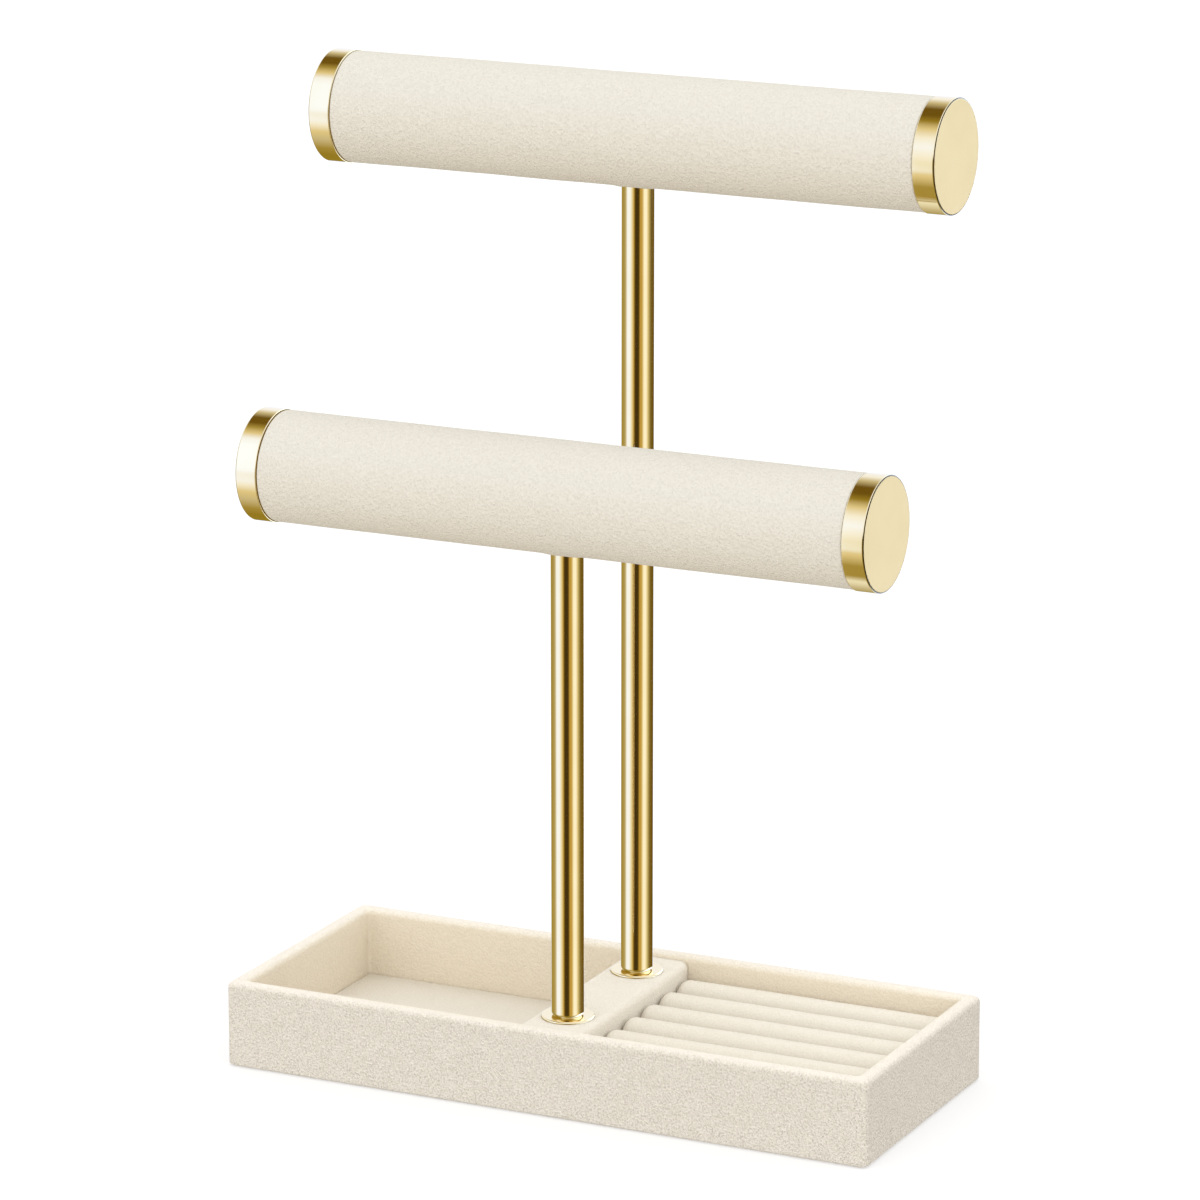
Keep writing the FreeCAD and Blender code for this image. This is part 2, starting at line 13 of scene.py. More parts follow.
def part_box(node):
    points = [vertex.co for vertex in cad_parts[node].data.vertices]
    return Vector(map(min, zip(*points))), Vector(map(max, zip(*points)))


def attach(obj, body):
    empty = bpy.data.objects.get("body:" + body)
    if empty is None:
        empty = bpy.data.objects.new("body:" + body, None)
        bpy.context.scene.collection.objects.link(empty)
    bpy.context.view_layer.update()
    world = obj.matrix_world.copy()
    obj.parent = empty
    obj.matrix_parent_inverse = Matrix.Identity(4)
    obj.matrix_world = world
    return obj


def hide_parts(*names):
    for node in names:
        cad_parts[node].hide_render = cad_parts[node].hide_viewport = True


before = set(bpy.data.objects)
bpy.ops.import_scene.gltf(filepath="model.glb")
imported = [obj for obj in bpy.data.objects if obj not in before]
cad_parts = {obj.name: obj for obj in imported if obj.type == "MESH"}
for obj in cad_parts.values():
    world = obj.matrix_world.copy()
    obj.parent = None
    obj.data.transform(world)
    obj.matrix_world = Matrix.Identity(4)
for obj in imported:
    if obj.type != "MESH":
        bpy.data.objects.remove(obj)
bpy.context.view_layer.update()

# Sizes that the frame's boxes give

tray_low, tray_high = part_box("tray_velvet")
board_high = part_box("tray_floor")[1]
left_wall_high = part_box("tray_left_wall")[1]
VELVET_THICK = tray_high.x - board_high.x
FLOOR_TOP = board_high.z
WALL_THICK = left_wall_high.x + VELVET_THICK - tray_low.x
POST_RADIUS = (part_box("front_post")[1].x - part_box("front_post")[0].x) / 2

# Rounded edges of the tray's and the block's velvet
TRAY_CORNER_RADIUS = 0.0020
WELL_CORNER_RADIUS = 0.0012
RIM_RADIUS = 0.0018
BLOCK_EDGE_RADIUS = 0.0024
HEM_RADIUS = 0.0003

# Soft unevenness of stretched velvet: height and spacing of its broad and its small waves
BROAD_WAVE = 0.00009
BROAD_SPACING = 0.024
SMALL_WAVE = 0.00003
SMALL_SPACING = 0.007

# Distance between mesh points along velvet edges, sides of a hole, and the shortest edge after a cut
CLOTH_STEP = 0.0015
HOLE_SIDES = 64
LEAST_EDGE = 0.000002


# Points, curves and meshes


def arc(center, radius, start, end, steps):
    """Points of an arc in a plane, angles in degrees, both ends included."""
    angles = [math.radians(start + (end - start) * step / steps) for step in range(steps + 1)]
    x, y = center
    return [(x + radius * math.cos(angle), y + radius * math.sin(angle)) for angle in angles]


def run(start, end, steps):
    """Evenly spaced points of a plane between two points, which are left out."""
    shares = [step / steps for step in range(1, steps)]
    return [tuple(a + (b - a) * share for a, b in zip(start, end)) for share in shares]


def steps_for(length):
    """How many mesh steps a velvet edge of that length takes."""
    return max(2, round(length / CLOTH_STEP))


def loft(name, rings, material, loop=False, capped=False):
    """Mesh through rings of points, where a ring of one point is a pole.

    A loop joins its last ring to its first, and a capped mesh has a face over each end.
    """
    form = bmesh.new()
    rows = [[form.verts.new(point) for point in ring] for ring in rings]
    pairs = list(zip(rows, rows[1:]))
    if loop:
        pairs.append((rows[-1], rows[0]))
    for near, far in pairs:
        count = max(len(near), len(far))
        for index in range(count):
            after = (index + 1) % count
            corners = [near[index % len(near)], near[after % len(near)]]
            corners += [far[after % len(far)], far[index % len(far)]]
            form.faces.new(dict.fromkeys(corners))
    if capped:
        form.faces.new(rows[0])
        form.faces.new(rows[-1])
    bmesh.ops.recalc_face_normals(form, faces=form.faces)
    for face in form.faces:
        face.smooth = True
    mesh = bpy.data.meshes.new(name)
    form.to_mesh(mesh)
    form.free()
    mesh.materials.append(material)
    piece = bpy.data.objects.new(name, mesh)
    bpy.context.scene.collection.objects.link(piece)
    return piece


def even_normals(piece):
    """Keep flat faces flat beside narrow rounded edges."""
    piece.modifiers.new("even_normals", "WEIGHTED_NORMAL").keep_sharp = True
    return piece


def cut(piece, cutter):
    """Take the cutter's volume out of a piece, for good, and leave no empty faces."""
    modifier = piece.modifiers.new("cut", "BOOLEAN")
    modifier.operation = "DIFFERENCE"
    modifier.solver = "EXACT"
    modifier.object = cutter
    evaluated = piece.evaluated_get(bpy.context.evaluated_depsgraph_get())
    mesh = bpy.data.meshes.new_from_object(evaluated)
    form = bmesh.new()
    form.from_mesh(mesh)
    bmesh.ops.remove_doubles(form, verts=form.verts, dist=LEAST_EDGE)
    form.to_mesh(mesh)
    form.free()
    piece.modifiers.clear()
    piece.data = mesh
    bpy.data.objects.remove(cutter)


def swell(piece, rise):
    """Move each point of a piece along its normal by what rise gives for its place."""
    vertices = piece.data.vertices
    moves = [vertex.normal * rise(vertex.co) for vertex in vertices]
    for vertex, move in zip(vertices, moves):
        vertex.co += move
    piece.data.update()


def wave(point):
    """Gentle unevenness of stretched velvet at a place."""
    broad = noise.noise(point / BROAD_SPACING) * BROAD_WAVE
    return broad + noise.noise(point / SMALL_SPACING) * SMALL_WAVE


def rounded_rectangle(half_x, half_y, radius, z, steps_x, steps_y, corner_steps=8):
    """Ring of points round a rectangle with rounded corners, at one height."""
    straight_x, straight_y = half_x - radius, half_y - radius
    corners = [
        ((straight_x, straight_y), 0),
        ((-straight_x, straight_y), 90),
        ((-straight_x, -straight_y), 180),
        ((straight_x, -straight_y), 270),
    ]
    ring = []
    for index, (center, angle) in enumerate(corners):
        bend = arc(center, radius, angle, angle + 90, corner_steps)
        next_center, next_angle = corners[(index + 1) % len(corners)]
        next_start = arc(next_center, radius, next_angle, next_angle, 1)[0]
        ring += bend + run(bend[-1], next_start, steps_x if index % 2 == 0 else steps_y)
    return [Vector((x, y, z)) for x, y in ring]


def circle(center, radius, axis, sides):
    """Ring of points round a point, square to X or Z. No radius gives a single point."""
    if radius == 0:
        return [Vector(center)]
    ring = []
    for index in range(sides):
        angle = 2 * math.pi * index / sides
        across, along = radius * math.cos(angle), radius * math.sin(angle)
        offset = (0, across, along) if axis == "X" else (across, along, 0)
        ring.append(Vector(center) + Vector(offset))
    return ring


def turned(name, profile, base, axis, material, sides=128, loop=False):
    """Piece turned round an axis through base. The profile holds (radius, distance along the axis)."""
    direction = Vector((1, 0, 0)) if axis == "X" else Vector((0, 0, 1))
    rings = [circle(Vector(base) + direction * along, radius, axis, sides) for radius, along in profile]
    return loft(name, rings, material, loop)


def set_painted_light_and_shade(piece, shares):
    """Say for each point of a piece how much painted light and shade its tones take, from 0, none, to
    1.
    """
    piece.data.attributes.new(PAINTED_LIGHT_AND_SHADE, "FLOAT", "POINT").data.foreach_set("value", shares)


def dress(piece, body, slot, *nodes, mirrored=False):
    """Let a piece ride on a body in place of CAD nodes. Only a mirrored piece shows in the metal."""
    piece.visible_glossy = mirrored
    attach(piece, body)
    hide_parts(*nodes)
    return piece


# Materials

# Noise: how rough it is, and the range that most of it lies in
NOISE_ROUGHNESS = 0.6
NOISE_RANGE = (0.3, 0.7)

# Velvet: stretch of its nap along the axes, blotches where its pile lies differently, gloss and sheen,
# the share of the pile's depth that places marked for painted light and shade keep, and the attribute
# that marks them
NAP_STRETCH = (1, 1, 1.2)
BLOTCH_SIZE = 0.004
BLOTCH_SHARE = 0.15
VELVET_ROUGHNESS = (0.85, 1.0)
SHEEN_WEIGHT = 0.05
SHEEN_ROUGHNESS = 0.5
MARKED_PILE_SHARE = 0.4
PAINTED_LIGHT_AND_SHADE = "painted_light_and_shade"

# Metal: broad haze, and polishing marks drawn out along Z
HAZE_SIZE = 0.02
MARK_SIZE = 0.0008
MARK_STRETCH = (1, 1, 12)
MARK_SHARE = 0.4

# Fibre: clouds as a multiple of the strands' size, gloss and strength of the relief
CLOUD_MULTIPLE = 9
CLOUD_SHARE = 0.35
FIBRE_ROUGHNESS = (0.75, 0.95)
FIBRE_SPECULAR = 0.2
FIBRE_RELIEF = 0.5

# Plastic: sparked grain, gloss and strength of the relief
GRAIN_SIZE = 0.0004
GRAIN_DEPTH = 0.00005
PLASTIC_ROUGHNESS = (0.4, 0.6)
PLASTIC_RELIEF = 0.4


def add_node(tree, kind, inputs=None, **settings):
    """A shader node with its settings, and its inputs set to values or linked to outputs."""
    node = tree.nodes.new(kind)
    for setting, content in settings.items():
        setattr(node, setting, content)
    for socket, source in (inputs or {}).items():
        if isinstance(source, bpy.types.NodeSocket):
            tree.links.new(source, node.inputs[socket])
        else:
            node.inputs[socket].default_value = source
    return node


def new_material(name):
    """A material, its node tree, its shader and the place on the piece that its textures follow."""
    material = bpy.data.materials.new(name)
    material.use_nodes = True
    tree = material.node_tree
    shader = tree.nodes["Principled BSDF"]
    place = add_node(tree, "ShaderNodeTexCoord").outputs["Object"]
    return material, tree, shader, place


def noise_of(tree, place, size, detail=3.0, stretch=(1, 1, 1)):
    """Noise with features of about that size, drawn out along the axes whose stretch is above one."""
    scale = tuple(1 / (size * share) for share in stretch)
    spot = add_node(tree, "ShaderNodeMapping", {"Vector": place, "Scale": scale})
    inputs = {
        "Vector": spot.outputs["Vector"],
        "Scale": 1.0,
        "Detail": detail,
        "Roughness": NOISE_ROUGHNESS,
    }
    return add_node(tree, "ShaderNodeTexNoise", inputs).outputs["Fac"]


def blend_of(tree, first, second, second_share):
    """Two noises mixed in given shares."""
    inputs = {"Factor": second_share, "A": first, "B": second}
    return add_node(tree, "ShaderNodeMix", inputs, data_type="FLOAT").outputs["Result"]


def spread(tree, source, low, high):
    """A noise's middle range stretched to run from low to high."""
    start, end = NOISE_RANGE
    inputs = {"Value": source, "From Min": start, "From Max": end, "To Min": low, "To Max": high}
    return add_node(tree, "ShaderNodeMapRange", inputs).outputs["Result"]


def tint(tree, source, dark, light):
    """Colour that runs from dark to light with a noise."""
    ramp = add_node(tree, "ShaderNodeValToRGB", {"Fac": spread(tree, source, 0.0, 1.0)})
    ramp.color_ramp.elements[0].color = (*dark, 1)
    ramp.color_ramp.elements[1].color = (*light, 1)
    return ramp.outputs["Color"]


def bump(tree, shader, source, depth, strength):
    """Fine relief from a noise."""
    inputs = {"Height": source, "Distance": depth, "Strength": strength}
    relief = add_node(tree, "ShaderNodeBump", inputs)
    tree.links.new(relief.outputs["Normal"], shader.inputs["Normal"])


def velvet(name, tones, nap, depth, painted_light_and_shade_tones=(), marked_pile_share=MARKED_PILE_SHARE):
    """Short-pile velvet: upright nap, and soft blotches where the pile lies differently.

    The higher a place's attribute, the further its tones move along the list of tones painted with
    light and shade, and the nearer its pile's depth comes to that share of the open pile's.
    """
    material, tree, shader, place = new_material(name)
    pile = noise_of(tree, place, nap, detail=1.0, stretch=NAP_STRETCH)
    lie = noise_of(tree, place, BLOTCH_SIZE, detail=2.0)
    mottle = blend_of(tree, pile, lie, BLOTCH_SHARE)
    color = tint(tree, mottle, *tones)
    strength = 1.0
    # Tones painted with light and shade, laid on where the attribute says
    if painted_light_and_shade_tones:
        painted_light_and_shade = add_node(tree, "ShaderNodeAttribute", attribute_name=PAINTED_LIGHT_AND_SHADE).outputs["Fac"]
        for step, next_tones in enumerate(painted_light_and_shade_tones):
            start, end = step / len(painted_light_and_shade_tones), (step + 1) / len(painted_light_and_shade_tones)
            inputs = {"Value": painted_light_and_shade, "From Min": start, "From Max": end}
            share = add_node(tree, "ShaderNodeMapRange", inputs).outputs["Result"]
            inputs = {"Factor": share, "A": color, "B": tint(tree, mottle, *next_tones)}
            color = add_node(tree, "ShaderNodeMix", inputs, data_type="RGBA").outputs["Result"]
        inputs = {"Value": painted_light_and_shade, "To Min": 1.0, "To Max": marked_pile_share}
        strength = add_node(tree, "ShaderNodeMapRange", inputs).outputs["Result"]
    tree.links.new(color, shader.inputs["Base Color"])
    tree.links.new(spread(tree, pile, *VELVET_ROUGHNESS), shader.inputs["Roughness"])
    bump(tree, shader, pile, depth, strength)
    shader.inputs["Specular IOR Level"].default_value = 0.0
    shader.inputs["Sheen Weight"].default_value = SHEEN_WEIGHT
    shader.inputs["Sheen Roughness"].default_value = SHEEN_ROUGHNESS
    return material


def metal(name, tones, smooth, rough):
    """Metal with faint haze and polishing marks that vary its colour and gloss."""
    material, tree, shader, place = new_material(name)
    haze = noise_of(tree, place, HAZE_SIZE, detail=2.0)
    marks = noise_of(tree, place, MARK_SIZE, detail=2.0, stretch=MARK_STRETCH)
    tree.links.new(tint(tree, haze, *tones), shader.inputs["Base Color"])
    gloss = blend_of(tree, haze, marks, MARK_SHARE)
    tree.links.new(spread(tree, gloss, smooth, rough), shader.inputs["Roughness"])
    shader.inputs["Metallic"].default_value = 1.0
    return material


def fibre(name, tones, size, depth, stretch):
    """Pressed board, card or felt: matt, with short fibres lying one way."""
    material, tree, shader, place = new_material(name)
    strands = noise_of(tree, place, size, stretch=stretch)
    clouds = noise_of(tree, place, size * CLOUD_MULTIPLE, detail=2.0)
    mottle = blend_of(tree, strands, clouds, CLOUD_SHARE)
    tree.links.new(tint(tree, mottle, *tones), shader.inputs["Base Color"])
    tree.links.new(spread(tree, strands, *FIBRE_ROUGHNESS), shader.inputs["Roughness"])
    bump(tree, shader, strands, depth, FIBRE_RELIEF)
    shader.inputs["Specular IOR Level"].default_value = FIBRE_SPECULAR
    return material


def moulded_plastic(name, tones):
    """Moulded plastic with a fine sparked grain."""
    material, tree, shader, place = new_material(name)
    grain = noise_of(tree, place, GRAIN_SIZE)
    tree.links.new(tint(tree, grain, *tones), shader.inputs["Base Color"])
    tree.links.new(spread(tree, grain, *PLASTIC_ROUGHNESS), shader.inputs["Roughness"])
    bump(tree, shader, grain, GRAIN_DEPTH, PLASTIC_RELIEF)
    return material


# Tones of each material, dark and light
OUTER_CREAM = ((0.58, 0.525, 0.435), (0.815, 0.755, 0.665))
# Lighter tones of the tray's rim and inside: painted light
PAINTED_LIGHT_RIM_CREAM = ((0.81, 0.755, 0.665), (0.90, 0.845, 0.755))
PAINTED_LIGHT_INNER_CREAM = ((0.765, 0.69, 0.56), (0.825, 0.75, 0.62))
# Tones of the block's velvet, lighter than the tray's outside: painted light from above
PAINTED_LIGHT_BLOCK_CREAM = ((0.76, 0.71, 0.62), (0.84, 0.79, 0.705))
LINING_CREAM = ((0.69, 0.64, 0.55), (0.77, 0.725, 0.64))
# Roll velvet: crowns painted lighter as light, valleys painted darker as shade in the creases
PAINTED_LIGHT_CROWN_CREAM = ((0.73, 0.68, 0.585), (0.80, 0.75, 0.66))
PAINTED_SHADE_VALLEY_CREAM = ((0.625, 0.58, 0.49), (0.69, 0.645, 0.56))
# Bar velvet: the underside's warmer, lighter tones are painted bounce light from below
BAR_TOP_CREAM = ((0.61, 0.58, 0.51), (0.67, 0.64, 0.57))
PAINTED_BOUNCE_UNDER_CREAM = ((0.67, 0.60, 0.485), (0.74, 0.675, 0.56))
GOLD = ((0.92, 0.74, 0.40), (0.95, 0.775, 0.44))
# Near-black gold for a thin line along the caps' edges: a painted dark reflection
PAINTED_DARK_LINE_GOLD = ((0.04, 0.028, 0.009), (0.06, 0.043, 0.015))
STEEL = ((0.52, 0.53, 0.55), (0.66, 0.67, 0.69))
BRASS = ((0.70, 0.50, 0.20), (0.80, 0.60, 0.28))
FELT_BEIGE = ((0.55, 0.50, 0.43), (0.72, 0.67, 0.59))
BOARD_BROWN = ((0.30, 0.19, 0.10), (0.46, 0.32, 0.19))
CARD_BROWN = ((0.36, 0.31, 0.25), (0.52, 0.46, 0.38))
BLACK_PLASTIC = ((0.030, 0.030, 0.032), (0.055, 0.055, 0.058))

# Size of the nap and depth of the pile on the tray, on low velvet and on the bars
NAP_SIZE = 0.0006
BAR_NAP_SIZE = 0.0008
TRAY_PILE = 0.0009
LOW_PILE = 0.0003
BAR_PILE = 0.00042
BAR_UNDER_PILE_SHARE = 1.5

# Size of the strands and depth of the relief in felt, and in board and card
FELT_STRAND = 0.0005
FELT_DEPTH = 0.0002
BOARD_STRAND = 0.0006
BOARD_DEPTH = 0.0001

# The tray's rim and inside take lighter tones: painted light
tray_velvet = velvet("tray_velvet", OUTER_CREAM, NAP_SIZE, TRAY_PILE, [PAINTED_LIGHT_RIM_CREAM, PAINTED_LIGHT_INNER_CREAM])
# The block's velvet takes lighter tones: painted light from above
block_velvet = velvet("block_velvet", PAINTED_LIGHT_BLOCK_CREAM, NAP_SIZE, LOW_PILE)
lining_velvet = velvet("lining_velvet", LINING_CREAM, NAP_SIZE, LOW_PILE)
# Rolls: lighter crowns are painted light, darker valleys painted shade
roll_velvet = velvet("roll_velvet", PAINTED_LIGHT_CROWN_CREAM, NAP_SIZE, LOW_PILE, [PAINTED_SHADE_VALLEY_CREAM])
# Bars: the underside takes warmer, lighter tones: painted bounce light
bar_velvet = velvet(
    "bar_velvet", BAR_TOP_CREAM, BAR_NAP_SIZE, BAR_PILE, [PAINTED_BOUNCE_UNDER_CREAM], BAR_UNDER_PILE_SHARE
)
gold = metal("polished_gold", GOLD, smooth=0.06, rough=0.11)
satin_gold = metal("satin_gold", GOLD, smooth=0.70, rough=0.74)
# Painted dark reflection line on the caps' edges
painted_dark_line_gold = metal("painted_dark_line_gold", PAINTED_DARK_LINE_GOLD, smooth=0.12, rough=0.20)
steel = metal("zinc_steel", STEEL, smooth=0.22, rough=0.40)
brass = metal("turned_brass", BRASS, smooth=0.20, rough=0.35)
felt = fibre("base_felt", FELT_BEIGE, FELT_STRAND, FELT_DEPTH, stretch=(3, 1, 1))
board = fibre("pressed_board", BOARD_BROWN, BOARD_STRAND, BOARD_DEPTH, stretch=(5, 1, 1))
card = fibre("wound_card", CARD_BROWN, BOARD_STRAND, BOARD_DEPTH, stretch=(1, 4, 4))
plastic = moulded_plastic("saddle_plastic", BLACK_PLASTIC)


# Tray

# Pads: where the rings of their mesh lie under and on top, as shares of the way in from the edge, the
# least share of the corners' radius that is left there, and the rounded upper edges
PAD_UNDER_SHARES = (0.98, 0.5, 0)
PAD_TOP_SHARES = (0.12, 0.3, 0.5, 0.7, 0.85, 0.98)
LEAST_CORNER_SHARE = 0.02
LINING_EDGE_RADIUS = 0.0005
SOLE_EDGE_RADIUS = 0.0002

# Holes in the sole that reach the base screws, and how far their cutters reach past it
ACCESS_HOLE_RADIUS = 0.0065
ACCESS_HOLE_OVERRUN = 0.002


def tray_section():
    """Section of the velvet over a wall: outside, rim, inside and back.

    Its points hold the distance in from the outside, and the height.
    """
    low, top, inner = tray_low.z, tray_high.z, WALL_THICK
    hem, rim, thick = HEM_RADIUS, RIM_RADIUS, VELVET_THICK
    points = arc((hem, low + hem), hem, 270, 180, 3)
    points += run(points[-1], (0, top - rim), steps_for(top - rim - low))
    points += arc((rim, top - rim), rim, 180, 90, 8)
    points += run(points[-1], (inner - rim, top), 3)
    points += arc((inner - rim, top - rim), rim, 90, 0, 8)
    points += run(points[-1], (inner, FLOOR_TOP + hem), steps_for(top - rim - FLOOR_TOP))
    points += arc((inner - hem, FLOOR_TOP + hem), hem, 0, -90, 3)
    back, under = inner - thick, top - thick
    points += [(back, FLOOR_TOP), (back, under), (thick, under), (thick, low)]
    return points


def tray_painted_light(inward):
    """Share of painted light on the tray's velvet, which makes its rim and inside lighter: 0 outside,
    near a half over the rim and 1 inside.
    """
    across = 2 * min(1, inward / WALL_THICK) - 1
    return (1 + across**3) / 2


def make_tray_cover():
    """Velvet stretched over the outside, rim and inside of the walls."""
    half_x, half_y = tray_high.x, tray_high.y
    steps_x, steps_y = steps_for(2 * half_x), steps_for(2 * half_y)
    rings = []
    for inward, z in tray_section():
        radius = TRAY_CORNER_RADIUS + (WELL_CORNER_RADIUS - TRAY_CORNER_RADIUS) * inward / WALL_THICK
        rings.append(rounded_rectangle(half_x - inward, half_y - inward, radius, z, steps_x, steps_y))
    cover = loft("tray_cover", rings, tray_velvet, loop=True)
    # The rim and inside take lighter tones: painted light
    set_painted_light_and_shade(cover, [tray_painted_light(inward) for inward, _ in tray_section() for _ in rings[0]])
    swell(cover, wave)
    dress(cover, "base", "velvet", "tray_velvet")


def make_post_block_cover():
    """Velvet over the block that carries the posts: up one side, over the top, down the other."""
    low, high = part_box("post_block_velvet")
    half, round_off, thick = high.x, BLOCK_EDGE_RADIUS, VELVET_THICK
    shoulder = high.z - round_off
    inside, under = half - thick, high.z - thick
    points = [(inside, low.z), (half, low.z)]
    points += run((half, low.z), (half, shoulder), steps_for(shoulder - low.z))
    points += arc((half - round_off, shoulder), round_off, 0, 90, 10)
    points += run(points[-1], (round_off - half, high.z), steps_for(2 * half))
    points += arc((round_off - half, shoulder), round_off, 90, 180, 10)
    points += run(points[-1], (-half, low.z), steps_for(shoulder - low.z))
    points += [(-half, low.z), (-inside, low.z), (-inside, under), (inside, under)]
    steps = steps_for(high.y - low.y)
    rings = []
    for step in range(steps + 1):
        y = low.y + (high.y - low.y) * step / steps
        rings.append([Vector((x, y, z)) for x, z in points])
    cover = loft("post_block_cover", rings, block_velvet, capped=True)
    swell(cover, wave)
    dress(cover, "base", "velvet", "post_block_velvet")


def pad(name, low, high, corner_radius, edge_radius, material):
    """Flat pad with rounded corners and a rounded upper edge."""
    half_x, half_y = (high.x - low.x) / 2, (high.y - low.y) / 2
    middle = Vector(((low.x + high.x) / 2, (low.y + high.y) / 2, 0))
    steps_x, steps_y = steps_for(2 * half_x), steps_for(2 * half_y)
    edge = [(half_y * share, low.z) for share in PAD_UNDER_SHARES]
    edge += arc((edge_radius, high.z - edge_radius), edge_radius, 180, 90, 5)
    edge += [(half_y * share, high.z) for share in PAD_TOP_SHARES]
    rings = []
    for inward, z in edge:
        radius = max(corner_radius - inward, corner_radius * LEAST_CORNER_SHARE)
        ring = rounded_rectangle(half_x - inward, half_y - inward, radius, z, steps_x, steps_y)
        rings.append([point + middle for point in ring])
    return loft(name, rings, material, capped=True)


def make_compartment_lining():
    """Velvet on the floor of the open compartment."""
    low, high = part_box("compartment_lining")
    name = "compartment_floor_cloth"
    lining = pad(name, low, high, WELL_CORNER_RADIUS, LINING_EDGE_RADIUS, lining_velvet)
    dress(lining, "base", "velvet", "compartment_lining")


def make_base_felt():
    """Felt under the tray, with a hole at each base screw."""
    low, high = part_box("base_pad")
    sole = pad("base_felt_sole", low, high, TRAY_CORNER_RADIUS, SOLE_EDGE_RADIUS, felt)
    start, end = low.z - ACCESS_HOLE_OVERRUN, high.z + ACCESS_HOLE_OVERRUN
    hole = [(0, start), (ACCESS_HOLE_RADIUS, start), (ACCESS_HOLE_RADIUS, end), (0, end)]
    for washer in ("front_base_washer", "rear_base_washer"):
        washer_low, washer_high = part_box(washer)
        middle = (washer_low + washer_high) / 2
        cut(sole, turned("access_hole", hole, (middle.x, middle.y, 0), "Z", felt, sides=HOLE_SIDES))
    dress(sole, "base", "base_felt", "base_pad")


# Ring rolls

ROLL_COUNT = 6
ROLL_FOOT_INSET = 0.0009
ROLL_END_RADIUS = 0.0030
# Greatest share of a roll's height that its crown takes, and points up the side as shares of the rest
ROLL_CROWN_SHARE = 0.9
ROLL_SIDE_SHARES = (0, 0.25, 0.5, 0.75)
# Depth below the crown where the valley's painted shade starts, and its range down
ROLL_VALLEY_START = 0.0002
ROLL_VALLEY_RANGE = 0.0022
# Height over the foot by which the waves reach their full size
ROLL_WAVE_HEIGHT = 0.003


def roll_section(half_width, height, foot_inset):
    """Section of a roll as (across, height): foot, drawn-in side, crown and side."""
    crown = min(half_width, height * ROLL_CROWN_SHARE)
    shoulder = height - crown
    foot = half_width - foot_inset
    points = []
    for share in ROLL_SIDE_SHARES:
        points.append((foot + foot_inset * math.sin(share * math.pi / 2), shoulder * share))
    points += arc((half_width - crown, shoulder), crown, 0, 90, 12)[:-1]
    points.append((0, height))
    return points + [(-across, up) for across, up in reversed(points[:-1])]


def make_ring_roll(number):
    """Foam roll covered in velvet: crowned, narrower at its foot, rounded at its ends."""
    node = f"ring_roll_{number}"
    low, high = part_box(node)
    half_width, height = (high.y - low.y) / 2, high.z - low.z
    middle = (low.y + high.y) / 2
    bend = arc((ROLL_END_RADIUS, ROLL_END_RADIUS), ROLL_END_RADIUS, 180, 270, 7)
    near = [(low.x + along, inset) for along, inset in bend]
    far = [(high.x - along, inset) for along, inset in reversed(bend)]
    stations = near + run(near[-1], far[0], steps_for(far[0][0] - near[-1][0])) + far
    rings = []
    for x, inset in stations:
        section = roll_section(half_width - inset, height - inset, ROLL_FOOT_INSET)
        rings.append([Vector((x, middle + across, low.z + up)) for across, up in section])
    roll = loft(f"ring_roll_pad_{number}", rings, roll_velvet, capped=True)
    # Tones darken from the crown down into the valleys between rolls: painted shade
    depths = [high.z - vertex.co.z - ROLL_VALLEY_START for vertex in roll.data.vertices]
    set_painted_light_and_shade(roll, [min(1, max(0, depth / ROLL_VALLEY_RANGE)) for depth in depths])
    swell(roll, lambda point: wave(point) * min(1, (point.z - low.z) / ROLL_WAVE_HEIGHT))
    dress(roll, "base", "velvet", node)


# Posts and flanges

# Hole for the base screw through a post's foot and its flange
STAND_BORE_RADIUS = 0.0028
POST_WALL = 0.0010
POST_FOOT_RADIUS = 0.0012
POST_TOP_RADIUS = 0.0002
FLANGE_EDGE_RADIUS = 0.0005


def make_post(stand):
    """Gold tube with a rolled-in foot."""
    low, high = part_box(f"{stand}_post")
    bore, wall, foot, top = STAND_BORE_RADIUS, POST_WALL, POST_FOOT_RADIUS, POST_TOP_RADIUS
    radius, length = POST_RADIUS, high.z - low.z
    profile = [(bore, 0)]
    profile += arc((radius - foot, foot), foot, 270, 360, 12)
    profile += run((radius, foot), (radius, length), 12)
    profile += arc((radius - top, length - top), top, 0, 90, 3)
    profile += [(radius - wall, length), (radius - wall, wall), (bore, wall)]
    middle = (low + high) / 2
    post = turned(f"{stand}_gold_post", profile, (middle.x, middle.y, low.z), "Z", gold, loop=True)
    dress(even_normals(post), "base", "gold", f"{stand}_post", mirrored=True)


def make_flange(stand):
    """Round gold plate under a post."""
    low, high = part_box(f"{stand}_flange")
    bore, edge = STAND_BORE_RADIUS, FLANGE_EDGE_RADIUS
    radius, thick = (high.x - low.x) / 2, high.z - low.z
    profile = [(bore, 0), (radius - edge / 2, 0)]
    profile += arc((radius - edge, thick - edge), edge, 0, 90, 6)
    profile += [(bore, thick)]
    middle = (low + high) / 2
    flange = turned(f"{stand}_gold_flange", profile, (middle.x, middle.y, low.z), "Z", gold, loop=True)
    dress(even_normals(flange), "base", "gold", f"{stand}_flange")


# Bars

SLEEVE_SIDES = 180
SLEEVE_END_RADIUS = 0.0005
POST_HOLE_GAP = 0.0003
PUCKER_RISE = 0.0003
PUCKER_WIDTH = 0.0016
SEAM_DEPTH = 0.00025
SEAM_WIDTH = 0.0004
# Where the underside's painted warm bounce light starts above the bar's middle, and its range down, as
# shares of the radius
UNDER_START_SHARE = 0.5
UNDER_RANGE_SHARE = 1.3

CAP_WALL = 0.0011
CAP_FACE_THICK = 0.0012
CAP_EDGE_RADIUS = 0.0005
CAP_MOUTH_RADIUS = 0.0002
# How squarely a cap's flat face and the part of its edge with a painted dark line look outward
FLAT_SHARE = 0.999
PAINTED_DARK_LINE_SHARES = (0.55, 0.98)


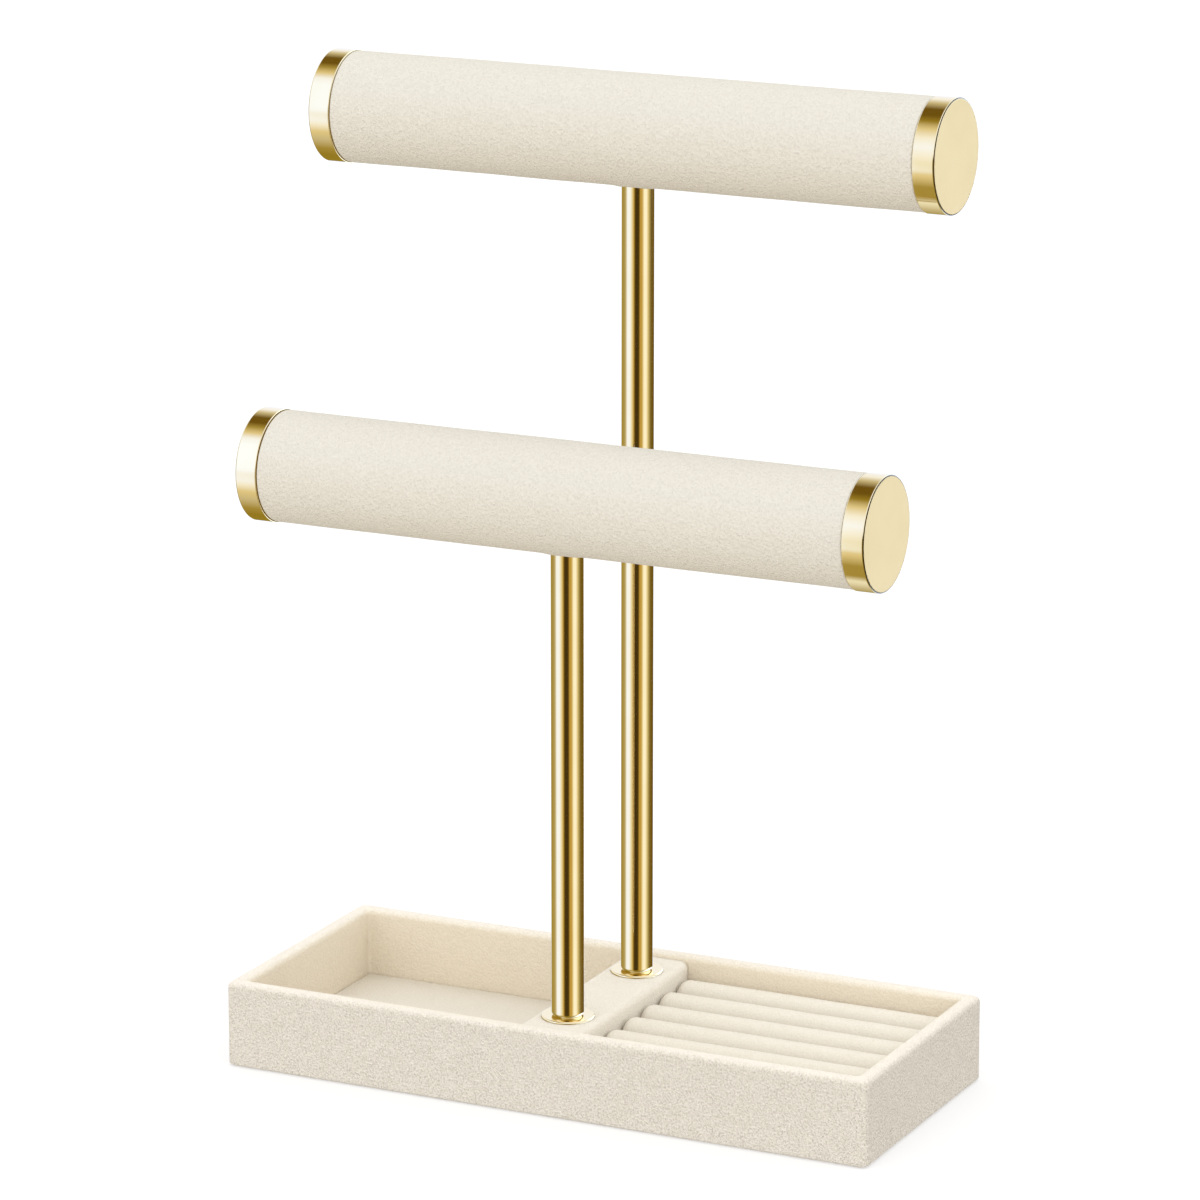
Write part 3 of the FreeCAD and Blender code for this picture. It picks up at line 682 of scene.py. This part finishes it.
def make_sleeve(bar):
    """Velvet round a bar, with a hole for the post and the seam of its wrap along the underside."""
    low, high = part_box(f"{bar}_velvet")
    radius, thick, end = (high.z - low.z) / 2, VELVET_THICK, SLEEVE_END_RADIUS
    middle = (low + high) / 2
    bore = radius - thick
    half = (high.x - low.x) / 2
    profile = [(bore, -half)]
    profile += [(radius - end + up, -half + end + out) for out, up in arc((0, 0), end, 180, 90, 4)]
    profile += run(profile[-1], (radius, half - end), steps_for(2 * half))
    profile += [(radius - end + up, half - end + out) for out, up in arc((0, 0), end, 90, 0, 4)]
    profile += [(bore, half)]
    profile += run((bore, half), (bore, -half), 12)
    sleeve = turned(f"{bar}_sleeve", profile, middle, "X", bar_velvet, SLEEVE_SIDES, loop=True)

    def rise(point):
        """Waves outside, and underneath the puckered edge of the hole and the seam."""
        out = point - middle
        if math.hypot(out.y, out.z) < radius - thick / 2:
            return 0
        height = wave(point)
        if out.z < 0:
            from_hole = math.hypot(out.x, out.y) - POST_RADIUS - POST_HOLE_GAP
            height += PUCKER_RISE * math.exp(-((from_hole / PUCKER_WIDTH) ** 2))
            height -= SEAM_DEPTH * math.exp(-((out.y / SEAM_WIDTH) ** 2))
        return height

    # Lower on the bar, the tones move to the underside's: painted warm bounce light
    heights = [(vertex.co.z - middle.z) / radius for vertex in sleeve.data.vertices]
    depths = [(UNDER_START_SHARE - height) / UNDER_RANGE_SHARE for height in heights]
    set_painted_light_and_shade(sleeve, [min(1, max(0, depth)) for depth in depths])
    swell(sleeve, rise)
    hole_radius = POST_RADIUS + POST_HOLE_GAP
    hole = [(0, -2 * radius), (hole_radius, -2 * radius), (hole_radius, 0), (0, 0)]
    cut(sleeve, turned("post_hole", hole, middle, "Z", bar_velvet, sides=HOLE_SIDES))
    dress(sleeve, bar, "velvet", f"{bar}_velvet")


def finish_cap_face(cap, outward):
    """Give a cap its satin face, and a near-black painted dark line, standing in for a dark reflection,
    on part of the edge beside it.
    """
    cap.data.materials.append(satin_gold)
    cap.data.materials.append(painted_dark_line_gold)
    satin_index, dark_line_index = 1, 2
    for polygon in cap.data.polygons:
        facing_share = polygon.normal.x * outward
        if facing_share > FLAT_SHARE:
            polygon.material_index = satin_index
        # This part of the edge gets the painted dark reflection line
        elif PAINTED_DARK_LINE_SHARES[0] < facing_share < PAINTED_DARK_LINE_SHARES[1]:
            polygon.material_index = dark_line_index


def make_cap(bar, side, outward):
    """Spun metal cap: flat face, narrow rounded edge, straight rim over the end of the core."""
    node = f"{bar}_{side}_cap"
    low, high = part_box(node)
    radius, depth = (high.z - low.z) / 2, high.x - low.x
    bore, face = radius - CAP_WALL, CAP_FACE_THICK
    edge, mouth = CAP_EDGE_RADIUS, CAP_MOUTH_RADIUS
    middle = (low + high) / 2
    profile = [(0, 0), (radius - 2 * edge, 0)]
    profile += [(across, -along) for across, along in arc((radius - edge, edge), edge, 270, 360, 8)]
    profile += run((radius, -edge), (radius, mouth - depth), 4)
    profile += arc((radius - mouth, mouth - depth), mouth, 0, -90, 4)
    profile += [(bore + mouth, -depth), (bore, -depth), (bore, -face), (0, -face)]
    face_x = high.x if outward > 0 else low.x
    turned_profile = [(across, along * outward) for across, along in profile]
    cap = turned(f"{bar}_{side}_gold_cap", turned_profile, (face_x, middle.y, middle.z), "X", gold)
    finish_cap_face(cap, outward)
    dress(even_normals(cap), bar, "gold", node)


# Finishes of the pieces inside that keep their CAD shape

BOARD_NODES = ["tray_floor", "tray_front_wall", "tray_back_wall", "tray_left_wall", "tray_right_wall"]
BOARD_NODES += ["post_block"]


def finish_nodes(nodes, material):
    """Give CAD pieces a material. They don't show in the metal."""
    for node in nodes:
        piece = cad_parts[node]
        piece.visible_glossy = False
        for material_slot in piece.material_slots:
            material_slot.material = material


def finish_inner_pieces():
    """Finish boards, cards, fittings and the parts inside the bars."""
    finish_nodes(BOARD_NODES, board)
    finish_nodes(["ring_board"], card)
    for stand in ("front", "rear"):
        names = ("foot_plug", "top_plug", "stud", "base_screw", "base_washer")
        finish_nodes([f"{stand}_{name}" for name in names], steel)
    for bar in ("lower_bar", "upper_bar"):
        finish_nodes([f"{bar}_core"], card)
        finish_nodes([f"{bar}_saddle"], plastic)
        finish_nodes([f"{bar}_nut"], brass)


# Stage: camera, floor and light

# Camera: the direction and distance that it looks from, how far right of the base's middle and how high
# the point that it looks at lies, and its lens
VIEW_AZIMUTH = math.radians(25.67)
VIEW_ELEVATION = math.radians(14.67)
VIEW_DISTANCE = 1.776
VIEW_SIDE = -0.00083
VIEW_HEIGHT = 0.1514
LENS_MM = 175.44
SENSOR_MM = 36

FLOOR_GREYS = ((0.49, 0.49, 0.49), (0.51, 0.51, 0.51))
FLOOR_CLOUD_SIZE = 0.4
FLOOR_GLOW = 0.45
FLOOR_HALF = 9.0
FLOOR_DROP = -0.0001
WHITE = (1, 1, 1, 1)

toward_camera = Vector((math.sin(VIEW_AZIMUTH), -math.cos(VIEW_AZIMUTH), 0))
camera_right = Vector((math.cos(VIEW_AZIMUTH), math.sin(VIEW_AZIMUTH), 0))


def make_camera():
    """Camera in front, to the right and a little above."""
    camera = bpy.data.objects.new("camera", bpy.data.cameras.new("camera"))
    bpy.context.scene.collection.objects.link(camera)
    camera.data.lens = LENS_MM
    camera.data.sensor_width = SENSOR_MM
    back = toward_camera * math.cos(VIEW_ELEVATION) + Vector((0, 0, math.sin(VIEW_ELEVATION)))
    camera.location = camera_right * VIEW_SIDE + Vector((0, 0, VIEW_HEIGHT)) + back * VIEW_DISTANCE
    camera.rotation_euler = (-back).to_track_quat("-Z", "Y").to_euler()
    bpy.context.scene.camera = camera


def make_floor():
    """Plain pale floor that neither lights the cloth nor shows in the metal."""
    material, tree, shader, place = new_material("pale_floor")
    clouds = noise_of(tree, place, FLOOR_CLOUD_SIZE)
    tree.links.new(tint(tree, clouds, *FLOOR_GREYS), shader.inputs["Base Color"])
    shader.inputs["Roughness"].default_value = 1.0
    shader.inputs["Specular IOR Level"].default_value = 0.0
    shader.inputs["Emission Color"].default_value = WHITE
    shader.inputs["Emission Strength"].default_value = FLOOR_GLOW
    corners = ((-1, -1), (1, -1), (1, 1), (-1, 1))
    ring = [Vector((x * FLOOR_HALF, y * FLOOR_HALF, FLOOR_DROP)) for x, y in corners]
    floor = loft("floor", [ring, [Vector((0, 0, FLOOR_DROP))]], material)
    floor.visible_glossy = False
    floor.visible_diffuse = False


# Cards round the object that its metal mirrors: their colours
BRIGHT_CARD = (1.12, 1.38, 2.3)
WHITE_CARD = (1.07, 1.27, 2.0)
CREAM_CARD = (1.12, 1.19, 1.34)
LINEN_CARD = (1.05, 1.16, 1.5)
IVORY_CARD = (0.97, 1.03, 1.08)
STRAW_CARD = (0.84, 0.78, 0.54)
SAND_CARD = (0.66, 0.63, 0.48)
KHAKI_CARD = (0.47, 0.42, 0.22)
AMBER_CARD = (0.59, 0.42, 0.115)
BRASS_CARD = (0.42, 0.34, 0.09)
BRONZE_CARD = (0.33, 0.25, 0.03)
OLIVE_CARD = (0.21, 0.155, 0.037)
UMBER_CARD = (0.17, 0.11, 0.012)
BROWN_CARD = (0.065, 0.043, 0.012)
# Ring of cards that the posts mirror: degrees from the camera's side towards its right, colour
CARDS = [
    (-180, LINEN_CARD),
    (-167, LINEN_CARD),
    (-160, BRASS_CARD),
    (-128, BRASS_CARD),
    (-104, KHAKI_CARD),
    (-92, SAND_CARD),
    (-79, WHITE_CARD),
    (-57, WHITE_CARD),
    (-46, IVORY_CARD),
    (-38, STRAW_CARD),
    (-29, AMBER_CARD),
    (-22, UMBER_CARD),
    (-16, BROWN_CARD),
    (4, BROWN_CARD),
    (9, UMBER_CARD),
    (17, AMBER_CARD),
    (28, AMBER_CARD),
    (37, STRAW_CARD),
    (44, CREAM_CARD),
    (62, CREAM_CARD),
    (75, STRAW_CARD),
    (88, KHAKI_CARD),
    (104, OLIVE_CARD),
    (128, UMBER_CARD),
    (160, UMBER_CARD),
    (167, LINEN_CARD),
    (180, LINEN_CARD),
]
# Further cards, each over those before: direction, shares of it where it starts and is full, colour
HIGH_CARDS = [
    ((0, 0, 1), 0.0, 0.2, LINEN_CARD),
    ((0.72, 0.69, 0.08), 0.957, 0.975, BROWN_CARD),
    ((0, 0, -1), 0.4, 1.0, BRONZE_CARD),
]
# Rings of cards that the rims of the left and the right caps mirror: degrees up from the front, colour
LEFT_RIM_CARDS = [
    (-180, LINEN_CARD),
    (-156, BRONZE_CARD),
    (-112, BRONZE_CARD),
    (-90, BRASS_CARD),
    (-66, SAND_CARD),
    (-48, STRAW_CARD),
    (-32, LINEN_CARD),
    (-14, WHITE_CARD),
    (4, BRIGHT_CARD),
    (50, BRIGHT_CARD),
    (63, WHITE_CARD),
    (76, STRAW_CARD),
    (90, BRASS_CARD),
    (102, UMBER_CARD),
    (120, UMBER_CARD),
    (138, SAND_CARD),
    (154, LINEN_CARD),
    (180, LINEN_CARD),
]
RIGHT_RIM_CARDS = [
    (-180, LINEN_CARD),
    (-150, BRASS_CARD),
    (-122, SAND_CARD),
    (-98, IVORY_CARD),
    (-82, BRASS_CARD),
    (-56, BRASS_CARD),
    (-32, STRAW_CARD),
    (-10, IVORY_CARD),
    (6, LINEN_CARD),
    (24, WHITE_CARD),
    (42, LINEN_CARD),
    (60, STRAW_CARD),
    (78, BRONZE_CARD),
    (92, UMBER_CARD),
    (110, UMBER_CARD),
    (130, SAND_CARD),
    (148, LINEN_CARD),
    (180, LINEN_CARD),
]
# Lean of the rims' rings along X, half the width over which the right one takes over, and their fade
RIM_LEAN = -math.sin(VIEW_AZIMUTH) * math.cos(VIEW_ELEVATION)
RIM_BLEND = 0.02
RIM_SIDES = (RIM_LEAN - RIM_BLEND, RIM_LEAN + RIM_BLEND)
RIM_FADE = (0.12, 0.25)
# Dip of the ring that the posts mirror, and where it fades
POST_DIP = -math.sin(VIEW_ELEVATION)
POST_FADE = (0.08, 0.20)
# Lamps that light the right caps' satin faces: directions, shares of them at the soft edge, colour
LAMP_DIRECTIONS = ((0.388, 0.895, 0.219), (0.388, 0.72, -0.57))
LAMP_EDGE_SHARES = (0.78, 0.92)
LAMP_CARD = (1.74, 2.14, 2.95)
CARD_STRENGTH = 0.95
# Light on the cloth: its level, and how it grows along each axis
DOME_LEVEL = 1.05
DOME_SLOPE = (0.055, -0.28, 0.44)


def make_world():
    """Soft white dome for the cloth, cards for the metal, and plain white behind the floor's edge."""
    world = bpy.data.worlds.new("studio")
    world.use_nodes = True
    world.cycles.sampling_method = "NONE"
    bpy.context.scene.world = world
    tree = world.node_tree
    tree.nodes.clear()
    direction = add_node(tree, "ShaderNodeTexCoord").outputs["Generated"]

    def along(vector):
        """How far a direction goes along a vector."""
        inputs = {0: direction, 1: tuple(vector)}
        return add_node(tree, "ShaderNodeVectorMath", inputs, operation="DOT_PRODUCT").outputs["Value"]

    def ring(across, front, stops):
        """Cards in a ring: each stands so many degrees from the front towards the across direction."""
        inputs = {0: along(across), 1: along(front)}
        turn = add_node(tree, "ShaderNodeMath", inputs, operation="ARCTAN2").outputs["Value"]
        inputs = {"Value": turn, "From Min": -math.pi, "From Max": math.pi}
        share = add_node(tree, "ShaderNodeMapRange", inputs).outputs["Result"]
        ramp = add_node(tree, "ShaderNodeValToRGB", {"Fac": share})
        elements = ramp.color_ramp.elements
        elements[0].color = (*stops[0][1], 1)
        elements[1].color = (*stops[-1][1], 1)
        for degrees, color in stops[1:-1]:
            elements.new((degrees + 180) / 360).color = (*color, 1)
        return ramp.outputs["Color"]

    def mix(share, below, above):
        """One colour laid over another by a share."""
        inputs = {"Factor": share, "A": below, "B": above}
        return add_node(tree, "ShaderNodeMix", inputs, data_type="RGBA").outputs["Result"]

    def rising(source, start, end):
        """Share that runs from 0 to 1 between two values of a source."""
        inputs = {"Value": source, "From Min": start, "From Max": end}
        return add_node(tree, "ShaderNodeMapRange", inputs).outputs["Result"]

    def away(axis, middle, start, end):
        """Share of how far a direction's part along an axis lies from a middle value."""
        inputs = {0: along(axis), 1: middle}
        offset = add_node(tree, "ShaderNodeMath", inputs, operation="SUBTRACT").outputs["Value"]
        distance = add_node(tree, "ShaderNodeMath", {0: offset}, operation="ABSOLUTE").outputs["Value"]
        return rising(distance, start, end)

    cards = ring(camera_right, toward_camera, CARDS)
    for vector, start, end, color in HIGH_CARDS:
        cards = mix(rising(along(vector), start, end), cards, (*color, 1))
    right, front, up = (1, 0, 0), (0, -1, 0), (0, 0, 1)
    left_rims = ring(up, front, LEFT_RIM_CARDS)
    right_rims = ring(up, front, RIGHT_RIM_CARDS)
    rims = mix(rising(along(right), *RIM_SIDES), left_rims, right_rims)
    others = mix(away(right, RIM_LEAN, *RIM_FADE), rims, cards)
    for lamp in LAMP_DIRECTIONS:
        others = mix(rising(along(lamp), *LAMP_EDGE_SHARES), others, (*LAMP_CARD, 1))
    cards = mix(away(up, POST_DIP, *POST_FADE), cards, others)
    inputs = {0: along(DOME_SLOPE), 1: DOME_LEVEL}
    dome = add_node(tree, "ShaderNodeMath", inputs, operation="ADD").outputs["Value"]
    path = add_node(tree, "ShaderNodeLightPath")
    dome_light = add_node(tree, "ShaderNodeBackground", {"Color": WHITE, "Strength": dome})
    card_light = add_node(tree, "ShaderNodeBackground", {"Color": cards, "Strength": CARD_STRENGTH})
    white = add_node(tree, "ShaderNodeBackground", {"Color": WHITE, "Strength": 1.0})
    inputs = {0: path.outputs["Is Glossy Ray"], 1: dome_light.outputs[0], 2: card_light.outputs[0]}
    light = add_node(tree, "ShaderNodeMixShader", inputs)
    inputs = {0: path.outputs["Is Camera Ray"], 1: light.outputs[0], 2: white.outputs[0]}
    seen = add_node(tree, "ShaderNodeMixShader", inputs)
    add_node(tree, "ShaderNodeOutputWorld", {"Surface": seen.outputs[0]})


make_camera()
make_floor()
make_world()
make_tray_cover()
make_post_block_cover()
make_compartment_lining()
make_base_felt()
for roll_number in range(1, ROLL_COUNT + 1):
    make_ring_roll(roll_number)
for stand_name in ("front", "rear"):
    make_post(stand_name)
    make_flange(stand_name)
for bar_name in ("lower_bar", "upper_bar"):
    make_sleeve(bar_name)
    make_cap(bar_name, "left", -1)
    make_cap(bar_name, "right", 1)
finish_inner_pieces()
bpy.context.scene.view_settings.view_transform = "Standard"
